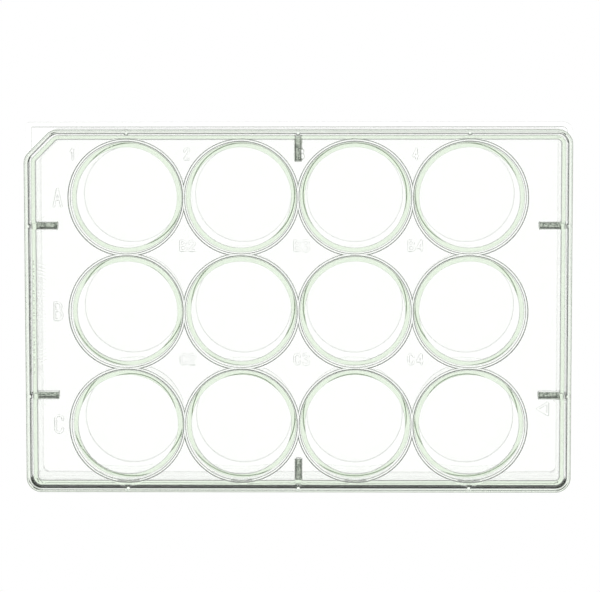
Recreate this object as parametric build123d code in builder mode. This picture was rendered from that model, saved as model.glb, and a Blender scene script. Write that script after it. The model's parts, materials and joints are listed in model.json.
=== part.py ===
"""A twelve-well culture plate with its lid, two clear mouldings, in millimetres.

The origin is on the floor under the middle of the plate. +X runs along columns 1 to 4,
+Y points to row A, and +Z is up. Both mouldings have their corner at well A1 cut off.
"""

from build123d import *
from math import radians, tan
import os

# Wells, on the standard grid of twelve
columns = 4
rows = 3
well_pitch = 26.0
well_mouth_radius = 11.45
well_taper = 0.25  # how much narrower a well is at its floor, on the radius
well_depth = 17.5
well_floor = 1.2  # thickness of a well's floor
well_floor_fillet = 0.25
rim_wall = 1.05  # thickness of a well's wall at its rim
rim_height = 0.8  # from the deck to the rims
cup_draft = 0.5  # how much narrower a cup is at its foot, on the radius
cup_foot_fillet = 0.25

# Plate
plate_height = 20.2  # from the floor to the rims
deck_thickness = 1.2
wall_thickness = 0.85
wall_corner = 2.0
wall_draft = 1.0  # degrees
corner_cut = 5.45  # legs of the cut across the wall's corner at A1
footprint_length = 127.76
footprint_width = 85.48
flange_end_ledge = 2.99  # from the flange's edge in to the wall, at the deck, on the short sides
flange_side_ledge = 2.6  # the same on the long sides
flange_height = 2.4
flange_wall = 1.2
flange_corner = 2.4
flange_cut_corner = 1.0  # the flange keeps its corner below the wall's cut

# Ribs inside the wall, and the pads over them that carry the lid
rib_thickness = 1.4
rib_reach = 5.0  # from the wall's inner face
rib_foot = 14.0  # from the floor to the lower end of a rib
side_rib_spacing = 39.0  # between the two ribs of a short side
pad_width = 1.5
pad_depth = 1.1
pad_setback = 0.45  # from the wall's edge to a pad

# Lid
lid_gap = 0.8  # from the rims to the lid's underside
lid_thickness = 1.2
lid_wall = 0.75
lid_clearance = 0.6  # from the wall to the lid's skirt
lid_height = 8.4
lid_outer_draft = 1.5  # degrees, on the outside of the skirt
lid_inner_draft = 1.0  # degrees
lid_edge_fillet = 0.5
ring_clearance = 0.3  # from a cup to the ring round it, on the radius
ring_width = 0.5
ring_height = 1.1
guide_thickness = 0.6  # thin guides inside the skirt, which centre the lid
guide_gap = 0.25  # from a guide to the wall
guide_spacing = 39.0  # between the three guides of a long side

# Raised marks on the deck and grip bars on the wall
mark_height = 0.15
stroke_width = 0.45
row_letter_size = (1.7, 4.0)
row_letter_offset = 15.8  # from the middle of column 1 out to the letters
column_number_size = (1.0, 2.4)
column_number_offset = (-12.3, 9.9)  # from the top well of its column
well_label_size = (1.3, 2.3)  # each of its two characters
well_label_spacing = 2.0
well_label_offset = (-12.2, 15.0)  # from its well
triangle_side = 3.0
triangle_inset = 4.59  # from the edge of the deck
triangle_rise = 3.6  # from the middle of row C
grip_bars = 16
grip_bar_pitch = 1.7
grip_bar_width = 0.9
grip_bar_length = 7.0
grip_bar_middle = (-2.1, 10.6)  # along the wall, and above the floor
grip_bar_proud = 0.25

# Places that follow from the sizes above
deck_top = plate_height - rim_height
deck_underside = deck_top - deck_thickness
cup_radius = well_mouth_radius + rim_wall
well_floor_radius = well_mouth_radius - well_taper
ring_inner_radius = cup_radius + ring_clearance
cup_foot = plate_height - well_depth - well_floor
well_bottom = cup_foot + well_floor
wall_length = footprint_length - 2 * flange_end_ledge
wall_width = footprint_width - 2 * flange_side_ledge
lid_underside = plate_height + lid_gap
lid_top = lid_underside + lid_thickness
lid_rim = lid_top - lid_height
column_x = [(i - (columns - 1) / 2) * well_pitch for i in range(columns)]
row_y = [((rows - 1) / 2 - i) * well_pitch for i in range(rows)]
long_side_ribs = [(0, wall_width / 2, -90), (0, -wall_width / 2, 90)]
short_side_ribs = [
    (side * wall_length / 2, end * side_rib_spacing / 2, 90 + side * 90)
    for side in (-1, 1)
    for end in (-1, 1)
]
rib_places = long_side_ribs + short_side_ribs  # x, y and the angle that points inwards

# Pen strokes of each character, in a box 1 wide and 1 high. Three points in a stroke that
# starts with "arc" are an arc's start, middle and end, and the others are straight runs.
pen_strokes = {
    "A": [("run", (0, 0), (0.5, 1), (1, 0)), ("run", (0.2, 0.4), (0.8, 0.4))],
    "B": [
        ("run", (0.5, 0), (0, 0), (0, 1), (0.45, 1)),
        ("arc", (0.45, 1), (0.85, 0.76), (0.45, 0.53)),
        ("run", (0, 0.53), (0.5, 0.53)),
        ("arc", (0.5, 0.53), (1, 0.26), (0.5, 0)),
    ],
    "C": [
        ("arc", (0.95, 0.75), (0.5, 1), (0, 0.7)),
        ("run", (0, 0.7), (0, 0.3)),
        ("arc", (0, 0.3), (0.5, 0), (0.95, 0.25)),
    ],
    "1": [("run", (0.1, 0.75), (0.6, 1), (0.6, 0))],
    "2": [
        ("arc", (0, 0.72), (0.5, 1), (1, 0.72)),
        ("run", (1, 0.72), (0, 0), (1, 0)),
    ],
    "3": [
        ("arc", (0.05, 0.9), (0.9, 0.76), (0.4, 0.53)),
        ("arc", (0.4, 0.53), (1, 0.27), (0, 0.1)),
    ],
    "4": [("run", (0.75, 0), (0.75, 1)), ("run", (0.7, 1), (0, 0.3), (1, 0.3))],
}


def body_outline(inset):
    """Draws the wall's outline moved in by inset, or out if it's negative, in a sketch."""
    length = wall_length - 2 * inset
    width = wall_width - 2 * inset
    cut = corner_cut - (2 - 2**0.5) * inset  # keeps the cut parallel to the wall's own
    with BuildLine() as outline:
        Polyline(
            (-length / 2, -width / 2),
            (length / 2, -width / 2),
            (length / 2, width / 2),
            (-length / 2 + cut, width / 2),
            (-length / 2, width / 2 - cut),
            close=True,
        )
    face = make_face(outline.edges())
    fillet(face.vertices(), max(wall_corner - inset, 0.1))


def foot_outline(inset):
    """Draws the footprint moved in by inset, in a sketch."""
    length = footprint_length - 2 * inset
    width = footprint_width - 2 * inset
    foot = Rectangle(length, width)
    by_distance = foot.vertices().sort_by_distance((-length, width))
    fillet(by_distance[1:], max(flange_corner - inset, 0.1))
    fillet(by_distance[0], max(flange_cut_corner - inset, 0.1))


def draw_character(character, left, bottom, size):
    """Draws a character's pen strokes in a sketch, as bands one stroke wide."""
    for kind, *points in pen_strokes[character]:
        placed = [(left + u * size[0], bottom + v * size[1]) for u, v in points]
        with BuildLine() as stroke:
            if kind == "arc":
                ThreePointArc(*placed)
            else:
                Polyline(*placed)
        trace(stroke.edges(), line_width=stroke_width)


def draw_text(text, centre, size, spacing=0):
    """Draws a short row of characters in a sketch, centred on a point."""
    for index, character in enumerate(text):
        shift = (index - (len(text) - 1) / 2) * spacing
        left = centre[0] + shift - size[0] / 2
        draw_character(character, left, centre[1] - size[1] / 2, size)


# One cup of the plate, standing at the origin: its outside, then its hollow
with BuildPart() as cup:
    with BuildSketch(Plane.XZ) as cup_section:
        with BuildLine():
            Polyline(
                (0, cup_foot),
                (cup_radius - cup_draft, cup_foot),
                (cup_radius, plate_height),
                (0, plate_height),
                close=True,
            )
        make_face()
        foot_corner = cup_section.vertices().group_by(Axis.Y)[0].sort_by(Axis.X)[-1]
        fillet(foot_corner, cup_foot_fillet)
    revolve(axis=Axis.Z)

with BuildPart() as hollow:
    with BuildSketch(Plane.XZ) as hollow_section:
        with BuildLine():
            Polyline(
                (0, well_bottom),
                (well_floor_radius, well_bottom),
                (well_mouth_radius, plate_height),
                (0, plate_height),
                close=True,
            )
        make_face()
        floor_corner = hollow_section.vertices().group_by(Axis.Y)[0].sort_by(Axis.X)[-1]
        fillet(floor_corner, well_floor_fillet)
    revolve(axis=Axis.Z)


# The plate: flange, wall, deck, cups, ribs, pads and marks, moulded as one
with BuildPart() as plate:
    with BuildSketch():
        foot_outline(0)
    extrude(amount=flange_height)
    with BuildSketch(Plane.XY.offset(deck_top)):
        body_outline(0)
    extrude(amount=-deck_top, taper=-wall_draft)

    # the space under the ledge and the deck
    with BuildSketch():
        foot_outline(flange_wall)
    extrude(amount=flange_height - flange_wall, mode=Mode.SUBTRACT)
    with BuildSketch(Plane.XY.offset(deck_underside)):
        body_outline(wall_thickness)
    extrude(amount=-deck_underside, taper=-wall_draft, mode=Mode.SUBTRACT)

    # ribs from the wall inwards, sunk into half of its thickness
    for x, y, angle in rib_places:
        with BuildSketch(Plane.XY.offset(rib_foot)):
            with Locations(Location((x, y, 0), angle)):
                with Locations((wall_thickness / 2, 0)):
                    Rectangle(
                        wall_thickness / 2 + rib_reach,
                        rib_thickness,
                        align=(Align.MIN, Align.CENTER),
                    )
        extrude(amount=deck_top - rib_foot - deck_thickness / 2)

    # pads on the edge of the deck, over the ribs
    for x, y, angle in rib_places:
        with BuildSketch(Plane.XY.offset(deck_top)):
            with Locations(Location((x, y, 0), angle)):
                with Locations((pad_setback, 0)):
                    Rectangle(pad_depth, pad_width, align=(Align.MIN, Align.CENTER))
        extrude(amount=lid_underside - deck_top)

    with GridLocations(well_pitch, well_pitch, columns, rows):
        add(cup.part)
    with GridLocations(well_pitch, well_pitch, columns, rows):
        add(hollow.part, mode=Mode.SUBTRACT)

    # raised row letters, column numbers, well labels and a plain triangle
    with BuildSketch(Plane.XY.offset(deck_top)):
        for letter, y in zip("ABC", row_y):
            draw_text(letter, (column_x[0] - row_letter_offset, y), row_letter_size)
        for column, x in enumerate(column_x):
            place = (x + column_number_offset[0], row_y[0] + column_number_offset[1])
            draw_text(str(column + 1), place, column_number_size)
        for letter, y in list(zip("ABC", row_y))[1:]:
            for column, x in list(enumerate(column_x))[1:]:
                place = (x + well_label_offset[0], y + well_label_offset[1])
                draw_text(letter + str(column + 1), place, well_label_size, well_label_spacing)
    extrude(amount=mark_height)
    with BuildSketch(Plane.XY.offset(deck_top)):
        with Locations((wall_length / 2 - triangle_inset, row_y[-1] + triangle_rise)):
            RegularPolygon(triangle_side / 3**0.5, 3, rotation=180)
            offset(amount=-stroke_width, mode=Mode.SUBTRACT)
    extrude(amount=mark_height)

    # plain upright bars in a row on the outside of the wall's -X side
    bar_foot = grip_bar_middle[1] - grip_bar_length / 2
    bar_x = -wall_length / 2 - (deck_top - bar_foot) * tan(radians(wall_draft))
    with BuildSketch(Plane.XY.offset(bar_foot)):
        with Locations((bar_x, grip_bar_middle[0])):
            with GridLocations(1, grip_bar_pitch, 1, grip_bars):
                Rectangle(2 * grip_bar_proud, grip_bar_width)
    extrude(amount=grip_bar_length)

plate.part.label = "plate"


# The lid: top, skirt, rings round the wells and guides, moulded as one
with BuildPart() as lid:
    with BuildSketch(Plane.XY.offset(lid_top)):
        body_outline(-lid_clearance - lid_wall)
    extrude(amount=-lid_height, taper=-lid_outer_draft)
    fillet(lid.faces().sort_by(Axis.Z)[-1].edges(), lid_edge_fillet)
    with BuildSketch(Plane.XY.offset(lid_underside)):
        body_outline(-lid_clearance)
    extrude(amount=lid_rim - lid_underside, taper=-lid_inner_draft, mode=Mode.SUBTRACT)

    # rings that keep drops apart; each one runs into its neighbours
    with BuildSketch(Plane.XY.offset(lid_underside - ring_height)):
        with GridLocations(well_pitch, well_pitch, columns, rows):
            Circle(ring_inner_radius + ring_width)
        with GridLocations(well_pitch, well_pitch, columns, rows):
            Circle(ring_inner_radius, mode=Mode.SUBTRACT)
    extrude(amount=ring_height)

    # guides that centre the lid on the plate, sunk into half of the skirt's thickness
    guide_places = [
        (index * guide_spacing, side * (wall_width / 2 + lid_clearance), -90 * side)
        for index in (-1, 0, 1)
        for side in (-1, 1)
    ]
    guide_places += [
        (x + (lid_clearance if x > 0 else -lid_clearance), y, angle)
        for x, y, angle in short_side_ribs
    ]
    for x, y, angle in guide_places:
        with BuildSketch(Plane.XY.offset(lid_underside)):
            with Locations(Location((x, y, 0), angle)):
                with Locations((-lid_wall / 2, 0)):
                    Rectangle(
                        lid_wall / 2 + lid_clearance - guide_gap,
                        guide_thickness,
                        align=(Align.MIN, Align.CENTER),
                    )
        extrude(amount=lid_rim + guide_thickness - lid_underside)

lid.part.label = "lid"


os.makedirs("parts", exist_ok=True)
export_step(plate.part, "parts/plate.step")
export_step(lid.part, "parts/lid.step")
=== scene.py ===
import json
import math

import bmesh
import bpy
import numpy as np
from mathutils import Matrix, Vector, geometry


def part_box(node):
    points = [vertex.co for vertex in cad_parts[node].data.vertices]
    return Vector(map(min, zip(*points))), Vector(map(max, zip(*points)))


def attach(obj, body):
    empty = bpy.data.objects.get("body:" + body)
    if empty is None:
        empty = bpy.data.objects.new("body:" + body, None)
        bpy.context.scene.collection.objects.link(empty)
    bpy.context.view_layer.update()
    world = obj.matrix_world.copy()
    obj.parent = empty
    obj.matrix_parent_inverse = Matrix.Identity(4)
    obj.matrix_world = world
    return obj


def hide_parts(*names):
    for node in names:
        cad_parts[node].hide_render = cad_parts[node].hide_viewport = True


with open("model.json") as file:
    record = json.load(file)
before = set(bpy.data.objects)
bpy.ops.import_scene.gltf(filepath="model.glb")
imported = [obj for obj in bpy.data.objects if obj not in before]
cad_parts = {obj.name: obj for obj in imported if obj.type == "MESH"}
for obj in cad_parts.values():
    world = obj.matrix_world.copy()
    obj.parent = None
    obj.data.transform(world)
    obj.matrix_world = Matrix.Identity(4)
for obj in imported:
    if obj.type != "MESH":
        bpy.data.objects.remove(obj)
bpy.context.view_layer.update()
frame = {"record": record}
metresPerMm = 0.001


# An sRGB hex colour as linear red, green and blue.
def linearColour(hexText):
    values = np.array([int(hexText[i : i + 2], 16) for i in (1, 3, 5)]) / 255
    return np.where(values <= 0.04045, values / 12.92, ((values + 0.055) / 1.055) ** 2.4).tolist()


# A node of a tree with its settings, its fixed inputs and its links, each (input, output socket).
def addNode(tree, kind, settings=None, inputs=None, links=None):
    node = tree.nodes.new(kind)
    for name, value in (settings or {}).items():
        setattr(node, name, value)
    for name, value in (inputs or {}).items():
        node.inputs[name].default_value = value
    for name, socket in (links or {}).items():
        tree.links.new(socket, node.inputs[name])
    return node


# The lowest and highest corner of a CAD node, in millimetres.
def boxInMm(node):
    low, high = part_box(node)
    return np.array(low) / metresPerMm, np.array(high) / metresPerMm


plateLow, plateHigh = boxInMm("plate")
lidLow, lidHigh = boxInMm("lid")
statedOpenings = frame["record"]["physics"]["openings"]
wellBoxes = {
    opening["name"]: np.array(opening["box_m"]) / metresPerMm
    for opening in statedOpenings
    if opening["name"].startswith("well_")
}
wellCentres = {name[5:]: box.mean(axis=0)[:2] for name, box in wellBoxes.items()}
wellPitch = wellCentres["a2"][0] - wellCentres["a1"][0]

# sizes that the plate and the lid share, in millimetres
wallSizes = {
    "endLedge": 2.99,  # from the flange's edge in to the wall, on the short sides
    "sideLedge": 2.6,  # the same on the long sides
    "corner": 2.0,
    "cornerCut": 5.45,
    "arcSteps": 10,  # round each right angle
    "roundSteps": 128,  # round each well
}
wallHalf = plateHigh[:2] - (wallSizes["endLedge"], wallSizes["sideLedge"])


# A rib's outline in its wall: along the wall and out of it. A quarter turn leaves the wall,
# a straight side goes out, and a quarter turn rounds the tip; the other half mirrors it.
def notchShape(half, reach, root, tip, steps=4):
    turn = np.linspace(0, math.pi / 2, steps)
    along = np.r_[-half - root + root * np.sin(turn), -half + tip - tip * np.cos(turn)]
    out = np.r_[root - root * np.cos(turn), reach - tip + tip * np.sin(turn)]
    return np.r_[along, -along[::-1]], np.r_[out, out[::-1]]


# A rectangle's outline with rounded corners and its corner at -X, +Y cut off, anticlockwise.
# Arcs with fixed centres are joined by straight runs, so a loop moved out by some amount has
# the same centres and larger arcs. Notches stand on the straight runs, each scaled by the depth
# of its kind, and those with a depth are wider by grow on each side.
def outlineLoop(half, corner, cut, notches=(), depths=None, grow=0.0, cutRadius=None):
    cornerRadii = [corner] * 3 + [corner if cutRadius is None else cutRadius] * 2
    tangent = cornerRadii[3] * math.tan(math.pi / 8)
    x, y = half
    centres = [
        (-x + corner, -y + corner),
        (x - corner, -y + corner),
        (x - corner, y - corner),
        (-x + cut + tangent, y - cornerRadii[3]),
        (-x + cornerRadii[3], y - cut - tangent),
    ]
    starts = np.radians([180, 270, 0, 90, 135])
    sweeps = np.radians([90, 90, 90, 45, 45])
    sides = [((1, 0), (0, 1)), ((0, 1), (-1, 0)), ((-1, 0), (0, -1)), None, ((0, -1), (1, 0))]
    loop = []
    corners = zip(centres, cornerRadii, starts, sweeps, sides)
    for index, (centre, radius, start, sweep, side) in enumerate(corners):
        steps = max(2, round(wallSizes["arcSteps"] * sweep / (math.pi / 2)))
        angle = start + sweep * np.linspace(0, 1, steps + 1)
        loop.append(np.c_[centre[0] + radius * np.cos(angle), centre[1] + radius * np.sin(angle)])
        if side is None:
            continue
        direction, inward = np.array(side[0]), np.array(side[1])
        base = -inward * half  # the middle of this side
        onSide = [n for n in notches if n["side"] == index]
        for notch in sorted(onSide, key=lambda n: np.dot(direction, (n["at"], n["at"]))):
            depth = (depths or {}).get(notch["kind"], 0.0)
            wider = grow if depth else 0.0
            along, out = notchShape(notch["half"] + wider, notch["reach"], notch["root"], notch["tip"])
            place = np.dot(direction, (notch["at"], notch["at"])) + along
            loop.append(base + np.outer(place, direction) + np.outer(out * depth, inward * notch["towards"]))
    return np.concatenate(loop)


# A quarter turn as offsets and heights between two right-angled faces. Offset and height are the
# corner's, outSign and upSign say where the arc's centre lies from it, and flatFirst starts it on
# the level face.
def quarterTurn(offset, height, radius, outSign, upSign, flatFirst, steps=5):
    turn = np.linspace(0, math.pi / 2, steps)
    flat, steep = 1 - np.sin(turn), 1 - np.cos(turn)
    if not flatFirst:
        flat, steep = flat[::-1], steep[::-1]
    return list(zip(offset + outSign * radius * flat, height + upSign * radius * steep))


# A grid of points, rows by columns by three, as vertices and four-sided faces. Columns close
# into a ring where wrap is set.
def gridFaces(points, wrap=True):
    rows, columns = points.shape[:2]
    index = np.arange(rows * columns).reshape(rows, columns)
    right = np.roll(index, -1, axis=1)
    lower, upper = index[:-1], index[1:]
    quads = np.stack([lower, right[:-1], right[1:], upper], axis=-1)
    if not wrap:
        quads = quads[:, :-1]
    return points.reshape(-1, 3), quads.reshape(-1, 4)


# A section turned about a well's axis: x = cx + r cos a, y = cy + r sin a, z from the section.
def turnedGrid(centre, section, steps):
    angle = np.arange(steps) * 2 * math.pi / steps
    radius, height = np.array(section).T
    return np.stack(
        [
            centre[0] + np.outer(radius, np.cos(angle)),
            centre[1] + np.outer(radius, np.sin(angle)),
            np.repeat(height[:, None], steps, axis=1),
        ],
        axis=-1,
    )


def ring(centre, radius, steps):
    return turnedGrid(centre, [(radius, 0)], steps)[0, :, :2]


# True for each point inside a closed loop: a ray to +X crosses the loop an odd number of times.
def insideLoop(points, loop):
    x, y = points[:, None, 0], points[:, None, 1]
    x0, y0 = loop[:, 0], loop[:, 1]
    x1, y1 = np.roll(x0, -1), np.roll(y0, -1)
    spans = (y0 > y) != (y1 > y)
    rise = np.where(y1 == y0, 1.0, y1 - y0)
    return (spans & (x < x0 + (y - y0) * (x1 - x0) / rise)).sum(axis=1) % 2 == 1


# A level face between an outer loop and the loops of its holes, as triangles.
def levelFace(outer, holes, height):
    loops = [outer, *holes]
    points, edges, first = [], [], 0
    for loop in loops:
        count = len(loop)
        points.append(loop)
        edges += [(first + i, first + (i + 1) % count) for i in range(count)]
        first += count
    return fillLevel(np.concatenate(points), edges, outer, holes, height)


def fillLevel(points, edges, outer, holes, height):
    found = geometry.delaunay_2d_cdt([Vector(p) for p in points], edges, [], 0, 1e-5, False)
    flat = np.array([tuple(v) for v in found[0]])
    faces = np.array([tuple(f) for f in found[2]])
    middle = flat[faces].mean(axis=1)
    keep = insideLoop(middle, outer)
    for hole in holes:
        near = np.abs(middle - hole.mean(axis=0)).max(axis=1) < np.ptp(hole, axis=0).max()
        keep[near] &= ~insideLoop(middle[near], hole)
    return np.c_[flat, np.full(len(flat), height)], faces[keep]


# A level disc as one face, as a patch.
def disc(centre, radius, height, steps):
    return np.c_[ring(centre, radius, steps), np.full(steps, height)], [list(range(steps))]


# One closed mesh from several patches that share their edges, each (points, faces) or (points,
# faces, finish). The finish goes into an attribute of the faces. Points nearer than 2 micrometres
# are merged, normals are worked out afresh, and edges sharper than sharpAngle stay crisp.
def makeMesh(name, patches, sharpAngle=40):
    bm = bmesh.new()
    finishLayer = bm.faces.layers.float.new("finish")
    for points, faces, *finish in patches:
        made = [bm.verts.new(p) for p in (points * metresPerMm).tolist()]
        for face in faces:
            corners = [made[i] for i in face]
            if len(set(corners)) > 2:
                bm.faces.new(corners)[finishLayer] = finish[0] if finish else finishesAndShades["polished"]
    bmesh.ops.remove_doubles(bm, verts=bm.verts, dist=2e-6)
    bmesh.ops.dissolve_degenerate(bm, edges=bm.edges, dist=1e-7)
    loose = [v for v in bm.verts if not v.link_faces]
    bmesh.ops.delete(bm, geom=loose, context="VERTS")
    bmesh.ops.recalc_face_normals(bm, faces=bm.faces)
    openEdges = [e for e in bm.edges if len(e.link_faces) != 2]
    for face in bm.faces:
        face.smooth = True
    for edge in bm.edges:
        edge.smooth = len(edge.link_faces) == 2 and edge.calc_face_angle(0) < math.radians(sharpAngle)
    mesh = bpy.data.meshes.new(name)
    bm.to_mesh(mesh)
    volume = bm.calc_volume(signed=True)
    bm.free()
    triangles = sum(len(p.vertices) - 2 for p in mesh.polygons)
    print(name, "triangles", triangles, "open edges", len(openEdges), "volume mm3", round(volume * 1e9))
    piece = bpy.data.objects.new(name, mesh)
    bpy.context.scene.collection.objects.link(piece)
    weighted = piece.modifiers.new("evenFlats", "WEIGHTED_NORMAL")
    weighted.mode = "FACE_AREA"
    weighted.keep_sharp = True
    return piece


def atHeight(loop, height):
    return np.c_[loop, np.full(len(loop), height)]


# Pen strokes in a box one wide and one high. An arc has its start, middle and end.
penStrokes = {
    "A": [("run", (0, 0), (0.5, 1), (1, 0)), ("run", (0.2, 0.4), (0.8, 0.4))],
    "B": [
        ("run", (0.45, 0), (0, 0), (0, 1), (0.45, 1)),
        ("arc", (0.45, 1), (0.85, 0.76), (0.45, 0.53)),
        ("run", (0, 0.53), (0.5, 0.53)),
        ("arc", (0.5, 0.53), (1, 0.26), (0.5, 0)),
    ],
    "C": [
        ("arc", (0.95, 0.75), (0.5, 1), (0, 0.7)),
        ("run", (0, 0.7), (0, 0.3)),
        ("arc", (0, 0.3), (0.5, 0), (0.95, 0.25)),
    ],
    "1": [("run", (0.1, 0.75), (0.6, 1), (0.6, 0))],
    "2": [("arc", (0, 0.72), (0.5, 1), (1, 0.72)), ("run", (1, 0.72), (0, 0), (1, 0))],
    "3": [("arc", (0.05, 0.9), (0.9, 0.76), (0.4, 0.53)), ("arc", (0.4, 0.53), (1, 0.27), (0, 0.1))],
    "4": [("run", (0.75, 0), (0.75, 1)), ("run", (0.7, 1), (0, 0.3), (1, 0.3))],
}


# Points on the circle through three points, from the first through the second to the third.
def arcPoints(start, middle, end, steps=10):
    a, b, c = (complex(*p) for p in (start, middle, end))
    w = (c - a) / (b - a)
    centre = (b - a) * (w - abs(w) ** 2) / (w - w.conjugate()) + a
    first, second, third = (math.atan2((p - centre).imag, (p - centre).real) for p in (a, b, c))
    turn = (third - first) % (2 * math.pi)
    if (second - first) % (2 * math.pi) > turn:
        turn -= 2 * math.pi
    angle = first + turn * np.linspace(0, 1, steps)
    radius = abs(a - centre)
    return np.c_[centre.real + radius * np.cos(angle), centre.imag + radius * np.sin(angle)]


# The straight pieces of a text's strokes, each a start and an end, centred on a point.
def textSegments(text, centre, size, spacing=0.0):
    segments = []
    for index, character in enumerate(text):
        left = centre[0] + (index - (len(text) - 1) / 2) * spacing - size[0] / 2
        corner = np.array([left, centre[1] - size[1] / 2])
        for kind, *points in penStrokes[character]:
            line = np.array([corner + np.array(p) * size for p in points])
            if kind == "arc":
                line = arcPoints(*line)
            segments.append(np.stack([line[:-1], line[1:]], axis=1))
    return np.concatenate(segments)


# A patch of deck as a grid. Its height rises by the mark's height within half a stroke of the
# nearest segment, with a smooth slope. Returns the patch and its outer loop.
def raisedPatch(segments, deck, look):
    low = segments.min(axis=(0, 1)) - look["margin"]
    high = segments.max(axis=(0, 1)) + look["margin"]
    counts = np.ceil((high - low) / look["gridStep"]).astype(int) + 1
    xs, ys = np.linspace(low[0], high[0], counts[0]), np.linspace(low[1], high[1], counts[1])
    x, y = np.meshgrid(xs, ys)
    points = np.stack([x, y], axis=-1)[:, :, None]
    start, step = segments[:, 0], segments[:, 1] - segments[:, 0]
    share = np.clip(((points - start) * step).sum(-1) / (step**2).sum(-1), 0, 1)
    distance = np.linalg.norm(points - start - share[..., None] * step, axis=-1).min(axis=-1)
    rise = np.clip((look["stroke"] / 2 + look["slope"] / 2 - distance) / look["slope"], 0, 1)
    z = deck + look["height"] * rise**2 * (3 - 2 * rise)
    grid = np.stack([x, y, z], axis=-1)
    rim = np.concatenate([grid[0, :-1], grid[:-1, -1], grid[-1, :0:-1], grid[:0:-1, 0]])[:, :2]
    return gridFaces(grid, wrap=False), rim


plateShape = {
    "deckTop": 19.4,
    "rimTop": 20.2,
    "deck": 1.2,
    "wall": 0.85,
    "draft": 1.0,  # degrees
    "topEdge": 0.35,
    "flangeHeight": 2.4,
    "flangeWall": 1.2,
    "flangeCorner": 2.4,
    "flangeCutCorner": 1.0,
    "flangeEdge": 0.3,
    "footEdge": 0.15,
    "ledgeRoot": 0.12,
    "wallRoot": 0.35,  # where the wall meets the deck's underside
    "cupRoot": 0.1,
    "ribFoot": 14.0,
    "wellMouth": 11.45,
    "wellTaper": 0.25,
    "wellFloor": 2.7,
    "floorCorner": 0.25,
    "rimWall": 1.05,
    "rimEdge": 0.08,
    "rimFoot": 0.15,
    "cupDraft": 0.5,
    "cupFoot": 1.5,
    "cupFootCorner": 0.25,
}
ribNotch = {"kind": "rib", "half": 0.7, "reach": 5.0, "root": 0.15, "tip": 0.2, "towards": 1}
barNotch = {"kind": "bar", "half": 0.45, "reach": 0.25, "root": 0.1, "tip": 0.1, "towards": -1}
gripBars = {"count": 16, "pitch": 1.7, "middle": -2.1, "low": 7.1, "high": 14.1, "slope": 0.2}
ribPlaces = [(0, 0), (2, 0), (1, -19.5), (1, 19.5), (4, -19.5), (4, 19.5)]  # side and place along it
padShape = {
    "width": 1.5,
    "depth": 1.1,
    "setback": 0.45,
    "corner": 0.2,
    "edge": 0.12,
    "root": 0.08,
    "slack": 0.004,
    "outlineSteps": 16,
}
markLook = {"stroke": 0.45, "slope": 0.16, "height": 0.15, "margin": 0.5, "gridStep": 0.09}
finishesAndShades = {"polished": 0, "shadedEdges": 1, "shadedGap": 2, "erodedAndShaded": 3, "lightlyShadedEdges": 4}  # values of the faces' attribute; all but polished carry painted shade by slant, and the eroded one also a matt, pitted surface


def plateNotches():
    bars = (np.arange(gripBars["count"]) - (gripBars["count"] - 1) / 2) * gripBars["pitch"]
    ribs = [{**ribNotch, "side": side, "at": at} for side, at in ribPlaces]
    return ribs + [{**barNotch, "side": 4, "at": gripBars["middle"] + at} for at in bars]


# A run of loops as patches, one for each stretch of rows with the same finish. The finish of a
# row holds from it to the next one.
def rowPatches(rows):
    patches, first = [], 0
    for i in range(1, len(rows)):
        if i == len(rows) - 1 or rows[i][1] != rows[first][1]:
            grid = np.array([loop for loop, finish in rows[first : i + 1]])
            patches.append((*gridFaces(grid), finishesAndShades[rows[first][1]]))
            first = i
    return patches


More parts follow.
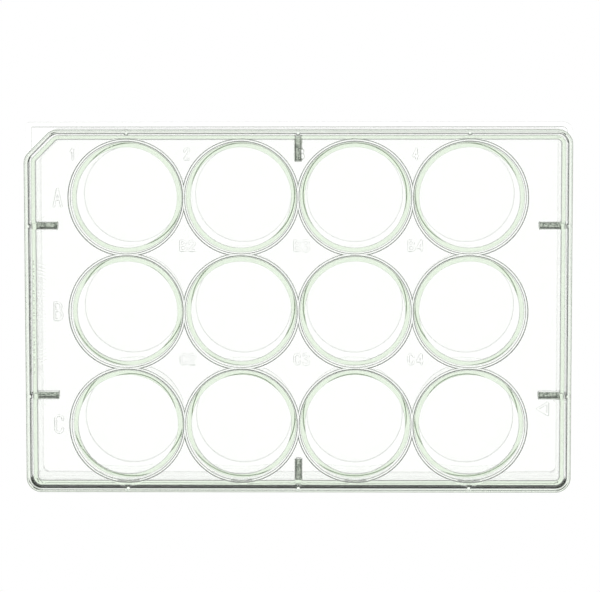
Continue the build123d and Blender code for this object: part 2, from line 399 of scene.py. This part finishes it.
def buildPlate():
    s = plateShape
    notches = plateNotches()
    slope = math.tan(math.radians(s["draft"]))
    underside = s["deckTop"] - s["deck"]

    def wallLoop(offset, height, depths=None, grow=0.0, start=s["deckTop"]):
        moved = offset + (start - height) * slope
        corner = max(wallSizes["corner"] + moved, 0.02)
        cut = wallSizes["cornerCut"] + (2 - math.sqrt(2)) * moved
        return atHeight(outlineLoop(wallHalf + moved, corner, cut, notches, depths, grow), height)

    def footLoop(inset, height):
        cutRadius = max(s["flangeCutCorner"] - inset, 0.05)
        cut = cutRadius * (2 - math.sqrt(2))
        half = plateHigh[:2] - inset
        corner = max(s["flangeCorner"] - inset, 0.05)
        return atHeight(outlineLoop(half, corner, cut, notches, cutRadius=cutRadius), height)

    outer = [wallLoop(o, z) for o, z in quarterTurn(0, s["deckTop"], s["topEdge"], -1, -1, True)]
    high, low, ease = gripBars["high"], gripBars["low"], gripBars["slope"]
    barRise = [(high, 0), (high - ease / 2, 0.7), (high - ease, 1)]
    barRise += [(low + ease, 1), (low + ease / 2, 0.7), (low, 0)]
    outer += [wallLoop(0, z, {"bar": depth}) for z, depth in barRise]
    outer += [wallLoop(o, z) for o, z in quarterTurn(0, s["flangeHeight"], s["ledgeRoot"], 1, 1, False)]
    outer += [footLoop(i, z) for i, z in quarterTurn(0, s["flangeHeight"], s["flangeEdge"], 1, -1, True)]
    outer += [footLoop(i, z) for i, z in quarterTurn(0, 0, s["footEdge"], 1, 1, False)]
    outer += [footLoop(i, z) for i, z in quarterTurn(s["flangeWall"], 0, s["footEdge"], -1, 1, True)]
    ceiling = s["flangeHeight"] - s["flangeWall"]
    outer += [footLoop(i, z) for i, z in quarterTurn(s["flangeWall"], ceiling, s["ledgeRoot"], 1, -1, False)]

    # the wall's inner side, with the ribs' ends and sides on it
    edge = ribNotch["tip"]
    shorter = {"rib": 1 - edge / ribNotch["reach"]}
    start = {"start": underside}
    inner = [wallLoop(o, z, **start) for o, z in quarterTurn(-s["wall"], ceiling, s["ledgeRoot"], 1, 1, True)]
    inner.append(wallLoop(-s["wall"], s["ribFoot"], **start))
    ribFootRows = (len(inner) - 1, len(inner))
    inner.append(wallLoop(-s["wall"], s["ribFoot"], shorter, -edge, **start))
    inner.append(wallLoop(-s["wall"], s["ribFoot"] + edge, {"rib": 1}, **start))
    for offset, height in quarterTurn(-s["wall"], underside, s["wallRoot"], -1, -1, False):
        inner.append(wallLoop(offset, height, {"rib": 1}, -s["wall"] - offset, **start))
    # the faces that pass the lid's skirt are painted dark by slant: painted shade
    outerFinishes = ["polished"] * 4 + ["shadedGap"] * 2  # the top edge, then what faces the lid's skirt
    outerFinishes += ["polished"] * (len(outer) - len(outerFinishes))
    rows = list(zip(outer, outerFinishes))
    rows += [(loop, "erodedAndShaded" if i in ribFootRows else "polished") for i, loop in enumerate(inner)]
    patches = rowPatches(rows)

    # wells
    steps = wallSizes["roundSteps"]
    outside = s["wellMouth"] + s["rimWall"]
    narrowing = s["cupDraft"] / (s["rimTop"] - s["cupFoot"])

    def cupRadius(height):
        return outside - (s["rimTop"] - height) * narrowing

    section = quarterTurn(cupRadius(s["deckTop"]), s["deckTop"], s["rimFoot"], 1, 1, True)
    section += quarterTurn(outside, s["rimTop"], s["rimEdge"], -1, -1, False)
    section += quarterTurn(s["wellMouth"], s["rimTop"], s["rimEdge"], 1, -1, True)
    floorRadius = s["wellMouth"] - s["wellTaper"]
    section += quarterTurn(floorRadius, s["wellFloor"], s["floorCorner"], -1, 1, False, 8)
    under = quarterTurn(cupRadius(underside), underside, s["cupRoot"], 1, -1, True)
    under += quarterTurn(cupRadius(s["cupFoot"]), s["cupFoot"], s["cupFootCorner"], -1, 1, False, 8)
    for centre in wellCentres.values():
        patches.append(gridFaces(turnedGrid(centre, section, steps)))
        patches.append(disc(centre, section[-1][0], s["wellFloor"], steps))
        patches.append(gridFaces(turnedGrid(centre, under, steps)))
        patches.append(disc(centre, under[-1][0], s["cupFoot"], steps))

    # marks and pads
    holes = [ring(c, section[0][0], steps) for c in wellCentres.values()]
    for segments in deckMarks():
        patch, rim = raisedPatch(segments, s["deckTop"], markLook)
        # the marks' slopes are painted dark by slant: painted shade
        patches.append((*patch, finishesAndShades["shadedEdges"]))
        holes.append(rim)
    for side, at in ribPlaces:
        padPatches, rim = padOnDeck(side, at)
        patches += padPatches
        holes.append(rim)

    patches.append(levelFace(outer[0][:, :2], holes, s["deckTop"]))
    underHoles = [ring(c, under[0][0], steps) for c in wellCentres.values()]
    patches.append(levelFace(inner[-1][:, :2], underHoles, underside))
    return makeMesh("culturePlate", patches)


# A pad on the deck over a rib: a low block with rounded corners, on which the lid sits.
def padOnDeck(side, at):
    p = padShape
    outwards = {0: (0, -1), 1: (1, 0), 2: (0, 1), 4: (-1, 0)}[side]
    along = np.abs(outwards)[::-1]
    reach = np.abs(wallHalf @ np.array(outwards)) - p["setback"] - p["depth"] / 2
    middle = np.array(outwards) * reach + along * at
    half = along * p["width"] / 2 + np.abs(outwards) * p["depth"] / 2
    turn = (np.arange(p["outlineSteps"]) + 0.5) * 2 * math.pi / p["outlineSteps"]
    towards = np.c_[np.cos(turn), np.sin(turn)]

    def padLoop(offset, height):
        core = middle + np.sign(towards) * (half - p["corner"])
        return atHeight(core + towards * (p["corner"] + offset), height)

    deckTop, top = plateShape["deckTop"], plateHigh[2] - p["slack"]
    rows = [padLoop(o, z) for o, z in quarterTurn(0, deckTop, p["root"], 1, 1, True, 3)]
    rows += [padLoop(o, z) for o, z in quarterTurn(0, top, p["edge"], -1, -1, False, 4)]
    return [gridFaces(np.array(rows)), (rows[-1], [list(range(len(turn)))])], rows[0][:, :2]


# Where the marks stand on the deck, from the wells.
markPlaces = {
    "rowLetter": {"out": 15.8, "size": (1.7, 4.0)},
    "columnNumber": {"from": (-12.3, 9.9), "size": (1.0, 2.4)},
    "wellLabel": {"from": (-12.2, 15.0), "size": (1.3, 2.3), "spacing": 2.0},
    "triangle": {"inset": 4.59, "rise": 3.6, "radius": 1.6},
}


def deckMarks():
    columnsX = sorted({round(float(c[0]), 3) for c in wellCentres.values()})
    rowsY = sorted({round(float(c[1]), 3) for c in wellCentres.values()}, reverse=True)
    letter, number, label, triangle = markPlaces.values()
    lettersX = columnsX[0] - letter["out"]
    marks = [textSegments(a, (lettersX, y), letter["size"]) for a, y in zip("ABC", rowsY)]
    for i, x in enumerate(columnsX):
        place = (x + number["from"][0], rowsY[0] + number["from"][1])
        marks.append(textSegments(str(i + 1), place, number["size"]))
    for a, y in list(zip("ABC", rowsY))[1:]:
        for i, x in list(enumerate(columnsX))[1:]:
            place = (x + label["from"][0], y + label["from"][1])
            marks.append(textSegments(a + str(i + 1), place, label["size"], label["spacing"]))
    turn = np.radians([180, 300, 60, 180])
    middle = np.array([wallHalf[0] - triangle["inset"], rowsY[-1] + triangle["rise"]])
    corners = middle + triangle["radius"] * np.c_[np.cos(turn), np.sin(turn)]
    marks.append(np.stack([corners[:-1], corners[1:]], axis=1))
    return marks


lidShape = {
    "clearance": 0.6,
    "wall": 0.75,
    "thickness": 1.2,
    "outerDraft": 1.5,  # degrees
    "innerDraft": 1.0,
    "topEdge": 0.5,
    "rimEdge": 0.2,
    "inside": 0.3,
    "ringInner": 12.8,
    "ringWidth": 0.5,
    "ringHeight": 1.1,
    "ringEdge": 0.12,
    "ringRoot": 0.12,
}
guideNotch = {"kind": "guide", "half": 0.3, "reach": 0.35, "root": 0.1, "tip": 0.12, "towards": 1}
guidePlaces = [(side, x) for side in (0, 2) for x in (-39, 0, 39)]
guidePlaces += [(side, y) for side in (1, 4) for y in (-19.5, 19.5)]


def buildLid():
    s = lidShape
    top, rim = lidHigh[2], lidLow[2]
    underside = top - s["thickness"]
    notches = [{**guideNotch, "side": side, "at": at} for side, at in guidePlaces]

    def skirtLoop(offset, height, start, draft, depth=0.0, grow=0.0):
        moved = offset + (start - height) * math.tan(math.radians(draft))
        corner = wallSizes["corner"] + moved
        cut = wallSizes["cornerCut"] + (2 - math.sqrt(2)) * moved
        return atHeight(outlineLoop(wallHalf + moved, corner, cut, notches, {"guide": depth}, grow), height)

    def outerLoop(offset, height):
        return skirtLoop(offset, height, top, s["outerDraft"])

    def innerLoop(offset, height, depth=0.0, grow=0.0):
        return skirtLoop(offset, height, underside, s["innerDraft"], depth, grow)

    outer, inner = s["clearance"] + s["wall"], s["clearance"]
    rows = [outerLoop(o, z) for o, z in quarterTurn(outer, top, s["topEdge"], -1, -1, True, 7)]
    rows += [outerLoop(o, z) for o, z in quarterTurn(outer, rim, s["rimEdge"], -1, 1, False)]
    rows += [innerLoop(o, z) for o, z in quarterTurn(inner, rim, s["rimEdge"], 1, 1, True)]
    skirtFaceStart = len(rows)
    guideFoot = rim + 2 * guideNotch["half"]
    rows.append(innerLoop(inner, guideFoot))
    rows.append(innerLoop(inner, guideFoot + guideNotch["tip"], 1))
    skirtFaceEnd = len(rows)
    for offset, height in quarterTurn(inner, underside, s["inside"], -1, -1, False):
        rows.append(innerLoop(offset, height, 1, inner - offset))
    skirtFace = range(skirtFaceStart, skirtFaceEnd)  # where the skirt faces the plate's wall
    # the skirt's faces that pass the plate's wall get the painted gap shade, the rest of the lid a lighter
    # painted shade by slant
    finished = [(loop, "shadedGap" if i in skirtFace else "lightlyShadedEdges") for i, loop in enumerate(rows)]
    patches = rowPatches(finished) + [levelFace(rows[0][:, :2], [], top)]

    # rings: each one's points beyond the middle line to a neighbour are held on that line
    steps = wallSizes["roundSteps"]
    tip = underside - s["ringHeight"]
    outside = s["ringInner"] + s["ringWidth"]
    section = quarterTurn(s["ringInner"], underside, s["ringRoot"], -1, -1, True)
    section += quarterTurn(s["ringInner"], tip, s["ringEdge"], 1, 1, False)
    section += quarterTurn(outside, tip, s["ringEdge"], -1, 1, True)
    section += quarterTurn(outside, underside, s["ringRoot"], 1, -1, False)
    centres = np.array(list(wellCentres.values()))
    points, edges, first = [], [], 0
    for centre in centres:
        grid = turnedGrid(centre, section, steps)
        held = np.zeros(grid.shape[:2] + (2,), bool)
        for axis in (0, 1):
            for side in (-1, 1):
                neighbour = centre + side * wellPitch * np.eye(2)[axis]
                if np.abs(centres - neighbour).sum(axis=1).min() > 0.01:
                    continue
                line = centre[axis] + side * wellPitch / 2
                beyond = (grid[..., axis] - line) * side > -1e-6
                grid[..., axis] = np.where(beyond, line, grid[..., axis])
                held[..., axis] |= beyond
        verts, faces = gridFaces(grid)
        flags = held.reshape(-1, 2)
        standing = flags[faces].all(axis=1).any(axis=1)
        # the rings' sides are painted dark by slant: painted shade
        patches.append((verts, faces[~standing], finishesAndShades["shadedEdges"]))
        patches.append(disc(centre, section[0][0], underside, steps))
        foot, footHeld = grid[-1, :, :2], held[-1].any(axis=1)
        points.append(foot)
        edges += [
            (first + i, first + (i + 1) % steps)
            for i in range(steps)
            if not (footHeld[i] and footHeld[(i + 1) % steps])
        ]
        first += steps
    inLoop = rows[-1][:, :2]
    count = len(inLoop)
    points.append(inLoop)
    edges += [(first + i, first + (i + 1) % count) for i in range(count)]
    holes = [ring(c, section[-1][0], steps) for c in centres]
    patches.append(fillLevel(np.concatenate(points), edges, inLoop, holes, underside))
    return makeMesh("plateLid", patches)


# Crystal polystyrene, injection moulded in a polished mould: clear, IOR 1.59, with a faint
# green tint that shows where light runs along a wall. Slow waves from the melt's flow bend
# what is seen through it a little, and the surface carries the fine grain of the mould.
polystyrene = {
    "ior": 1.59,
    "roughness": (0.0, 0.015),
    "absorbed": "#A4D484",
    "density": 19.0,  # per metre
    "wave": 9.0,  # mm from one flow wave to the next
    "waveHeight": 0.0012,
    "grain": 0.55,  # mm
    "grainHeight": 0.0001,
}
# Painted shade by slant: 1 - cos of the angle, and the colour painted into the surface there. Rounded edges,
# the marks and the lid's rings are painted dark where they are seen at a slant, in place of the dark lines
# that light lost inside them would give.
paintedEdgeShade = {
    "paintedShades": [(0.12, "#FFFFFF"), (0.35, "#3A4836"), (0.8, "#3A4836"), (0.92, "#FFFFFF")],
    "paintedInsideShades": [(0.02, "#FFFFFF"), (0.12, "#2C3828")],  # the same painted shade for rays on their way out
}
paintedCurveShade = {"paintedShades": [(0.15, "#FFFFFF"), (0.4, "#8C9A86")]}  # painted shade on larger curves, lighter
# The faces that pass each other between the skirt and the wall get painted shade: at a slant their colour is
# painted dark, they let less light through and they lose their mirror, which draws the dark band between the
# parts. At the flattest angles they mirror.
paintedGapShade = {
    "paintedShades": [(0.35, "#FFFFFF"), (0.6, "#3A4638"), (0.8, "#182416")],
    "clearShares": [(0.35, "#FFFFFF"), (0.65, "#909090"), (0.86, "#808080"), (0.92, "#FFFFFF")],
}
# The ribs' lower faces come from a spark-eroded pocket: matt, with a pitted grain, and the pits' slopes are
# painted dark, a painted shade.
erodedPitsAndShade = {
    "paintedShades": [(0.0, "#A8B2A2"), (0.05, "#2A332A")],
    "roughness": 0.35,
    "pit": 0.9,  # mm
    "pitDepth": 0.5,
}


# A colour ramp over a value, with stops that are each a position and an sRGB hex colour.
def rampOver(tree, value, wanted):
    node = addNode(tree, "ShaderNodeValToRGB", links={"Fac": value})
    node.color_ramp.interpolation = "EASE"
    stops = node.color_ramp.elements
    for index, (at, hexText) in enumerate(wanted):
        stop = stops[index] if index < 2 else stops.new(at)
        stop.position, stop.color = at, (*linearColour(hexText), 1)
    return node.outputs["Color"]


def makePolystyrene(name):
    look = polystyrene
    material = bpy.data.materials.new(name)
    material.use_nodes = True
    tree = material.node_tree
    tree.nodes.clear()
    out = addNode(tree, "ShaderNodeOutputMaterial")
    place = addNode(tree, "ShaderNodeTexCoord").outputs["Object"]

    def noiseOf(size, detail):
        inputs = {"Scale": 1 / (size * metresPerMm), "Detail": detail}
        return addNode(tree, "ShaderNodeTexNoise", inputs=inputs, links={"Vector": place}).outputs["Fac"]

    wave, grain = noiseOf(look["wave"], 1.0), noiseOf(look["grain"], 3.0)
    pits = noiseOf(erodedPitsAndShade["pit"], 2.0)

    # 1 on the faces of a finish, 0 elsewhere
    number = addNode(tree, "ShaderNodeAttribute", {"attribute_name": "finish"}).outputs["Fac"]

    def isFinish(finish):
        inputs = {1: finishesAndShades[finish], 2: 0.5}
        return addNode(tree, "ShaderNodeMath", {"operation": "COMPARE"}, inputs, {0: number}).outputs[0]

    shadedEdges, shadedGap, erodedAndShaded, lightlyShadedEdges = (isFinish(finish) for finish in ("shadedEdges", "shadedGap", "erodedAndShaded", "lightlyShadedEdges"))

    def bump(height, distance, strength=None, normal=None):
        links = {"Height": height}
        if strength is not None:
            links["Strength"] = strength
        if normal is not None:
            links["Normal"] = normal
        inputs = {"Strength": 1.0, "Distance": distance * metresPerMm}
        return addNode(tree, "ShaderNodeBump", inputs=inputs, links=links).outputs["Normal"]

    slow = bump(wave, look["waveHeight"])
    fine = bump(grain, look["grainHeight"], normal=slow)
    pitted = bump(pits, erodedPitsAndShade["pitDepth"], erodedAndShaded, fine)

    low, high = look["roughness"]
    smooth = addNode(
        tree,
        "ShaderNodeMapRange",
        inputs={"From Min": 0.35, "From Max": 0.7, "To Min": low, "To Max": high},
        links={"Value": grain},
    )

    def mixOf(kind, share, first, second):
        sockets = {"FLOAT": (2, 3, 0), "RGBA": (6, 7, 2)}[kind]
        given = {0: share, sockets[0]: first, sockets[1]: second}
        links = {key: value for key, value in given.items() if isinstance(value, bpy.types.NodeSocket)}
        inputs = {key: value for key, value in given.items() if key not in links}
        node = addNode(tree, "ShaderNodeMix", {"data_type": kind}, inputs, links)
        return node.outputs[sockets[2]]

    roughness = mixOf("FLOAT", erodedAndShaded, smooth.outputs["Result"], erodedPitsAndShade["roughness"])

    # painted shade by slant: the base colour goes dark where a face is seen at a slant
    white = (1, 1, 1, 1)
    slant = addNode(tree, "ShaderNodeLayerWeight", inputs={"Blend": 0.5}).outputs["Facing"]
    pitWeight = addNode(tree, "ShaderNodeLayerWeight", inputs={"Blend": 0.5}, links={"Normal": pitted})
    pitSlant = pitWeight.outputs["Facing"]
    inside = addNode(tree, "ShaderNodeNewGeometry").outputs["Backfacing"]
    shadeColour = mixOf("RGBA", shadedEdges, white, rampOver(tree, slant, paintedEdgeShade["paintedShades"]))
    shadeColour = mixOf("RGBA", lightlyShadedEdges, shadeColour, rampOver(tree, slant, paintedCurveShade["paintedShades"]))
    shadeColour = mixOf("RGBA", shadedGap, shadeColour, rampOver(tree, slant, paintedGapShade["paintedShades"]))
    # painted shade on rays leaving through the painted edges
    leaving = mixOf("RGBA", shadedEdges, white, rampOver(tree, slant, paintedEdgeShade["paintedInsideShades"]))
    shadeColour = mixOf("RGBA", inside, shadeColour, leaving)
    # painted shade: the rib feet go dark on their pits' slopes
    shadeColour = mixOf("RGBA", erodedAndShaded, shadeColour, rampOver(tree, pitSlant, erodedPitsAndShade["paintedShades"]))
    # painted shade on the gap faces: less light passes at a slant, and the mirror is turned off
    clear = mixOf("FLOAT", shadedGap, 1.0, rampOver(tree, slant, paintedGapShade["clearShares"]))
    clear = mixOf("FLOAT", inside, clear, 1.0)
    mirror = mixOf("FLOAT", shadedGap, 0.5, 0.0)

    shader = addNode(
        tree,
        "ShaderNodeBsdfPrincipled",
        inputs={"IOR": look["ior"]},
        links={
            "Base Color": shadeColour,
            "Roughness": roughness,
            "Normal": pitted,
            "Transmission Weight": clear,
            "Specular IOR Level": mirror,
        },
    )
    body = addNode(
        tree,
        "ShaderNodeVolumeAbsorption",
        inputs={"Color": (*linearColour(look["absorbed"]), 1), "Density": look["density"]},
    )
    tree.links.new(shader.outputs["BSDF"], out.inputs["Surface"])
    tree.links.new(body.outputs["Volume"], out.inputs["Volume"])
    return material


# A floor under the object that the camera sees as plain white, and round it a studio for light
# table work: a bright panel below, pale walls, and an even mid grey from just above the object up.
stageLook = {
    "floorHalf": 1.5,
    "gap": 0.02,
    # the sine of an elevation, from straight down to straight up, and the light from there
    "light": [
        (-1.0, "#FFFFFF"),
        (-0.92, "#FFFFFF"),
        (-0.8, "#DADADA"),
        (-0.5, "#D3D3D3"),
        (-0.3, "#E1E1E1"),
        (-0.05, "#D3D3D3"),
        (0.1, "#808080"),
        (0.9, "#808080"),
        (1.0, "#808080"),
    ],
    "strength": 1.2,
}


def makeStage():
    half = stageLook["floorHalf"]
    z = (plateLow[2] - stageLook["gap"]) * metresPerMm
    mesh = bpy.data.meshes.new("floor")
    corners = [(-half, -half, z), (half, -half, z), (half, half, z), (-half, half, z)]
    mesh.from_pydata(corners, [], [(0, 1, 2, 3)])
    floor = bpy.data.objects.new("floor", mesh)
    bpy.context.scene.collection.objects.link(floor)
    material = bpy.data.materials.new("whiteFloor")
    material.use_nodes = True
    tree = material.node_tree
    tree.nodes.clear()
    out = addNode(tree, "ShaderNodeOutputMaterial")
    path = addNode(tree, "ShaderNodeLightPath")
    passing = addNode(tree, "ShaderNodeBsdfTransparent")
    bright = addNode(tree, "ShaderNodeEmission", inputs={"Color": (1, 1, 1, 1), "Strength": 1.0})
    mix = addNode(
        tree,
        "ShaderNodeMixShader",
        links={0: path.outputs["Is Camera Ray"], 1: passing.outputs[0], 2: bright.outputs[0]},
    )
    tree.links.new(mix.outputs[0], out.inputs["Surface"])
    mesh.materials.append(material)

    world = bpy.data.worlds.new("studio")
    bpy.context.scene.world = world
    world.use_nodes = True
    tree = world.node_tree
    tree.nodes.clear()
    out = addNode(tree, "ShaderNodeOutputWorld")
    place = addNode(tree, "ShaderNodeTexCoord")
    split = addNode(tree, "ShaderNodeSeparateXYZ", links={0: place.outputs["Generated"]})
    share = addNode(
        tree,
        "ShaderNodeMapRange",
        inputs={"From Min": -1.0, "From Max": 1.0},
        links={"Value": split.outputs["Z"]},
    )
    levels = [((rise + 1) / 2, grey) for rise, grey in stageLook["light"]]
    light = rampOver(tree, share.outputs["Result"], levels)
    path = addNode(tree, "ShaderNodeLightPath")
    seen = addNode(
        tree,
        "ShaderNodeMix",
        {"data_type": "RGBA"},
        {7: (*[1 / stageLook["strength"]] * 3, 1)},
        {0: path.outputs["Is Camera Ray"], 6: light},
    )
    strength = {"Strength": stageLook["strength"]}
    sky = addNode(tree, "ShaderNodeBackground", inputs=strength, links={"Color": seen.outputs[2]})
    tree.links.new(sky.outputs[0], out.inputs["Surface"])


cameraLook = {
    "distance": 618.0,
    "tiltRight": 0.758,  # degrees from straight down, towards +X
    "tiltBack": 5.088,  # the same towards +Y
    "roll": -0.057,
    "target": (0.410, 3.5, 20.0),
    "lens": 162.5,
}


def makeCamera():
    s = cameraLook
    data = bpy.data.cameras.new("camera")
    data.lens = s["lens"]
    data.sensor_width = 36
    data.clip_start, data.clip_end = 0.01, 20
    camera = bpy.data.objects.new("camera", data)
    bpy.context.scene.collection.objects.link(camera)
    slopes = [math.tan(math.radians(s[name])) for name in ("tiltRight", "tiltBack")]
    back = Vector((*slopes, 1)).normalized()
    up = Vector((0, 1, 0))
    up = (up - up.dot(back) * back).normalized()
    right = up.cross(back)
    roll = math.radians(s["roll"])
    turnedRight = math.cos(roll) * right + math.sin(roll) * up
    turnedUp = -math.sin(roll) * right + math.cos(roll) * up
    place = (Vector(s["target"]) + s["distance"] * back) * metresPerMm
    axes = Matrix((turnedRight, turnedUp, back)).transposed()
    camera.matrix_world = Matrix.Translation(place) @ axes.to_4x4()
    bpy.context.scene.camera = camera


makeCamera()
makeStage()
print("stage and camera made")
plate = buildPlate()
lid = buildLid()
clearPolystyrene = makePolystyrene("clearPolystyrene")
for piece, node, slot in ((plate, "plate", "clear_plate"), (lid, "lid", "clear_lid")):
    piece.data.materials.append(clearPolystyrene)
    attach(piece, "root")
    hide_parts(node)
print("plate and lid made")

scene = bpy.context.scene
scene.view_settings.view_transform = "Standard"
scene.cycles.max_bounces = 32
scene.cycles.glossy_bounces = 24
scene.cycles.transmission_bounces = 32
scene.cycles.volume_bounces = 0
